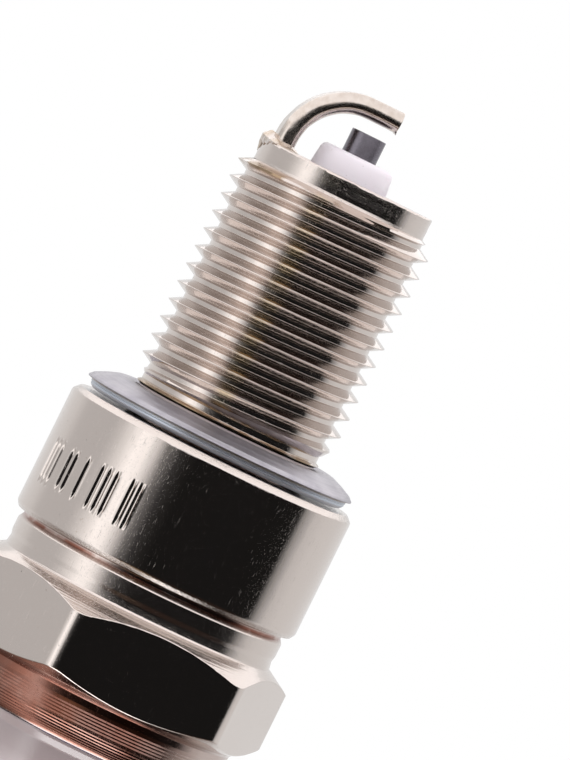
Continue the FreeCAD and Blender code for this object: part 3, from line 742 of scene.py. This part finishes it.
def insulatorSection():
    # up the outside from the nose to the top, then down the stepped bore
    c = ceramic
    path = [(c["bore"], c["tip"] + 0.05, 0.05), (c["bore"] + 0.08, c["tip"], 0.05),
            (c["noseRadius"] - 0.02, c["tip"], 0.48), (c["noseRadius"] + 0.12, -0.4, 0.5),
            (c["noseRoot"], c["noseTop"], 1.0), (c["seatRadius"], c["seat"][0], 0.3),
            (c["seatRadius"], c["seat"][1], 0.1), (c["bodyRadius"], c["body"][0], 0.15),
            (c["bodyRadius"], c["body"][1], 0.3), (c["flangeRadius"], c["flange"][0], 0.4),
            (c["flangeRadius"], c["flange"][1], 0.3), (c["shoulderRadius"], c["shoulder"][0], 0.3),
            (c["shoulderRadius"], c["shoulder"][1], 0.15), (c["stem"], c["stemLow"], 0.3),
            (c["stem"], c["stemTop"], 0.3)]
    for number in range(c["ribCount"]):
        base = c["stemTop"] + number * c["ribPitch"]
        path += [(c["valley"], base + 0.45, 0.3), (c["rib"], base + 0.9, 0.4), (c["rib"], base + 1.8, 0.4)]
    ribsTop = c["stemTop"] + c["ribCount"] * c["ribPitch"]
    path += [(c["valley"], ribsTop + 0.15, 0.3), (c["throat"], c["throatAt"], 0.8),
             (c["topRadius"], c["top"], 0.35), (c["wideBore"], c["top"], 0.1),
             (c["wideBore"], c["boreStep"], 0.05), (c["bore"], c["boreStep"], 0.05)]
    return roundedPath(path, closed=True, steps=5)


def makeInsulator():
    section = insulatorSection()
    mesh = bmesh.new()
    addLathe(mesh, lambda angle: section, evenAngles(160), closed=True)
    return makePiece("ceramicInsulator", mesh, finishes["glazed_alumina"], "plug", "insulator")


stud = {"foot": 30.5, "glassTop": 33.5, "footRadius": 1.7, "shank": 1.85, "flangeLow": 60.0,
        "flangeTop": 60.8, "flange": 3.0, "radius": 2.0, "root": 1.57, "crestHalf": 0.06, "undercut": 1.55,
        "pitch": 0.7, "threadLow": 61.4, "threadTop": 67.4, "leadSlope": 1.3, "endRadius": 1.72, "tip": 1.45,
        "top": 67.7}


def studThreadRadius(height, angle):
    # rolled thread with a flat crest and root, coned off at both ends
    s = stud
    crestAt = s["pitch"] * angle / (2 * math.pi)
    away = abs((height - crestAt + s["pitch"] / 2) % s["pitch"] - s["pitch"] / 2)
    drop = max(0.0, away - s["crestHalf"]) / math.tan(math.radians(shell["flankAngle"]))
    groove = max(s["radius"] - drop, s["root"])
    lead = s["undercut"] + (height - s["threadLow"]) * s["leadSlope"]
    tail = s["endRadius"] + s["threadTop"] - height
    return max(min(groove, lead, tail), s["undercut"])


def studTip(angle):
    s = stud
    path = [(studThreadRadius(s["threadTop"], angle), s["threadTop"], 0), (s["tip"], s["top"], 0.08),
            (0, s["top"], 0)]
    return roundedPath(path)


def makeStud():
    s = stud
    lower = [(0, s["foot"], 0), (s["footRadius"], s["foot"], 0.1), (s["footRadius"], s["glassTop"], 0.05),
             (s["shank"], s["glassTop"], 0.1), (s["shank"], s["flangeLow"], 0.05),
             (s["flange"], s["flangeLow"], 0.12), (s["flange"], s["flangeTop"], 0.15),
             (s["undercut"], s["flangeTop"], 0.1), (s["undercut"], s["threadLow"], 0)]
    section = roundedPath(lower)
    phases = (0, 0.05, 0.085, 0.13, 0.25, 0.36, 0.42, 0.5, 0.58, 0.64, 0.75, 0.87, 0.915, 0.95)
    thread = {"low": s["threadLow"], "high": s["threadTop"], "pitch": s["pitch"],
              "phases": phasesFrom(0, s["threadLow"], s["pitch"], phases)}
    mesh = bmesh.new()
    angles = evenAngles(96)
    addThread(mesh, thread, angles, studThreadRadius)
    addLathe(mesh, studTip, angles, closed=False)
    addLathe(mesh, lambda angle: section, angles, closed=False)
    return makePiece("terminalStud", mesh, finishes["stud_steel"], "plug", "terminal_stud")


nut = {"bore": 2.05, "foot": 60.85, "footRadius": 3.6, "footTop": 62.45, "waist": 2.75, "waistLow": 63.2,
       "waistTop": 64.6, "headRadius": 3.175, "headLow": 65.2, "top": 68.5}


def makeNut():
    n = nut
    path = [(n["bore"], n["foot"] + 0.3, 0.05), (n["bore"] + 0.3, n["foot"], 0.05),
            (n["footRadius"], n["foot"], 0.2), (n["footRadius"], n["footTop"], 0.25),
            (n["waist"], n["waistLow"], 0.4), (n["waist"], n["waistTop"], 0.4),
            (n["headRadius"], n["headLow"], 0.2), (n["headRadius"], n["top"] - 0.5, 0.15),
            (n["headRadius"] - 0.5, n["top"], 0.2), (n["bore"] + 0.3, n["top"], 0.08),
            (n["bore"], n["top"] - 0.3, 0.05)]
    section = roundedPath(path, closed=True)
    mesh = bmesh.new()
    addLathe(mesh, lambda angle: section, evenAngles(128), closed=True)
    return makePiece("terminalNut", mesh, finishes["terminal_plate"], "terminal_nut", "terminal_nut")


print("making pieces")
makeShell()
makeGasket()
makeGroundElectrode()
makeWeldFlash()
makeCentreElectrode()
makeInsulator()
makeStud()
makeNut()


view = {"turn": 8.0, "tilt": 26.3, "distance": 455.0, "drop": 16.26, "side": 2.07, "lookAt": -4.24,
        "lens": 338.4}


def makeCamera():
    # seen a little from below, firing end up and leaning to the right
    v = view
    turn, tilt = math.radians(v["turn"]), math.radians(v["tilt"])
    back = Vector((math.sin(turn), -math.cos(turn), 0))
    right = Vector((-math.cos(turn), -math.sin(turn), 0))
    target = right * v["side"] + Vector((0, 0, v["lookAt"]))
    place = target + back * v["distance"] + Vector((0, 0, -v["drop"]))
    towards = (target - place).normalized()
    flatUp = Vector((0, 0, -1))
    flatUp = (flatUp - towards * flatUp.dot(towards)).normalized()
    flatRight = towards.cross(flatUp)
    up = flatUp * math.cos(tilt) - flatRight * math.sin(tilt)
    camera = bpy.data.objects.new("camera", bpy.data.cameras.new("camera"))
    scene.collection.objects.link(camera)
    camera.data.lens = v["lens"]
    camera.data.clip_start, camera.data.clip_end = 0.01, 100
    side = towards.cross(up)
    camera.matrix_world = Matrix.Translation(place * mm) @ Matrix((side, up, -towards)).transposed().to_4x4()
    scene.camera = camera
    return back


lightTable = {"radius": 110, "below": 20.5, "sheet": "#F4F3F3", "cloud": "#F8F7F6", "cloudWidth": 30.0,
              "glow": 0.35}


def makeFloor():
    # a pale light table well below the plug
    mesh = bmesh.new()
    bmesh.ops.create_circle(mesh, cap_ends=True, segments=96, radius=lightTable["radius"] * mm)
    bmesh.ops.translate(mesh, verts=mesh.verts, vec=(0, 0, (endFace - lightTable["below"]) * mm))
    data = bpy.data.meshes.new("floor")
    mesh.to_mesh(data)
    mesh.free()
    floor = bpy.data.objects.new("floor", data)
    scene.collection.objects.link(floor)
    material, add, place = startMaterial("paleFloor")
    cloud = patches(add, place, lightTable["cloudWidth"])
    colour = layColours(add, lightTable["sheet"], (cloud, lightTable["cloud"]))
    endMaterial(add, Base_Color=colour, Roughness=0.9, Emission_Color=(1, 1, 1, 1),
                Emission_Strength=lightTable["glow"])
    data.materials.append(material)


# grey levels by degrees round from the camera, then the colours of the parts that lie higher up
surround = {"around": ((-180, 0.86), (-150, 0.87), (-129, 0.83), (-115, 0.67), (-80, 0.66), (-71, 0.83),
                       (-62, 1.12), (-54, 1.55), (-45, 1.4), (-38, 0.9), (-30, 0.2), (-22, 0.05),
                       (-15, 0.022), (-8, 0.012), (85, 0.012), (90, 0.35), (101, 0.75), (114, 0.83),
                       (180, 0.86)),
            "peak": 1.6, "behind": (0.22, 0.17, 0.145, 1), "front": (0.035, 0.022, 0.017, 1),
            "gold": (0.42, 0.31, 0.2, 1), "cap": (3.6, 3.6, 3.6, 1), "capRise": (0.9, 0.95),
            "soft": (0.95, 0.93, 0.94, 1), "backdrop": (1, 1, 1, 1)}


def makeStudio(back):
    # light surround with one dark side and one bright strip; the camera itself sees plain white
    world = bpy.data.worlds.new("studio")
    scene.world = world
    world.use_nodes = True
    world.node_tree.nodes.clear()
    add = partial(addNode, world.node_tree)
    direction = add("TexCoord", output="Generated")
    right = Vector((back.y, -back.x, 0))
    across, ahead = [add("VectorMath", direction, side, operation="DOT_PRODUCT", output="Value")
                     for side in (right, back)]
    turn = add("Math", add("Math", across, ahead, operation="ARCTAN2"), 180 / math.pi, operation="MULTIPLY")
    rise = add("SeparateXYZ", direction, output="Z")
    steep = add("Math", rise, operation="ABSOLUTE")

    light = add("ValToRGB", add("MapRange", turn, -180, 180))
    levels = [((degrees + 180) / 360, level / surround["peak"]) for degrees, level in surround["around"]]
    elements = light.node.color_ramp.elements
    elements[0].position, elements[1].position = levels[0][0], levels[-1][0]
    elements[0].color, elements[1].color = [levels[0][1]] * 3 + [1], [levels[-1][1]] * 3 + [1]
    for position, level in levels[1:-1]:
        elements.new(position).color = [level] * 3 + [1]
    light = add("VectorMath", light, sockets={"Scale": surround["peak"]}, operation="SCALE")

    # dim brown high up, gold high and low beside the bright strip, and a white cap overhead and underneath
    behind = add("Math", add("MapRange", ahead, 0.1, -0.2), add("MapRange", rise, 0.4, 0.75),
                 operation="MULTIPLY")
    front = add("Math", zone(add, turn, -36, 86, 5), add("MapRange", rise, 0.3, 0.5), operation="MULTIPLY")
    gold = add("Math", zone(add, turn, -32, -4, 6), add("MapRange", steep, 0.5, 0.7), operation="MULTIPLY")
    layers = [(behind, "behind"), (front, "front"), (gold, "gold"),
              (add("MapRange", steep, *surround["capRise"]), "cap"),
              (add("LightPath", output="Is Diffuse Ray"), "soft"),
              (add("LightPath", output="Is Camera Ray"), "backdrop")]
    for amount, name in layers:
        light = add("Mix", sockets={0: amount, 6: light, 7: surround[name]}, output=2, data_type="RGBA")
    add("OutputWorld", add("Background", light, 1.0))


print("making studio")
makeStudio(makeCamera())
makeFloor()
scene.view_settings.view_transform = "Standard"
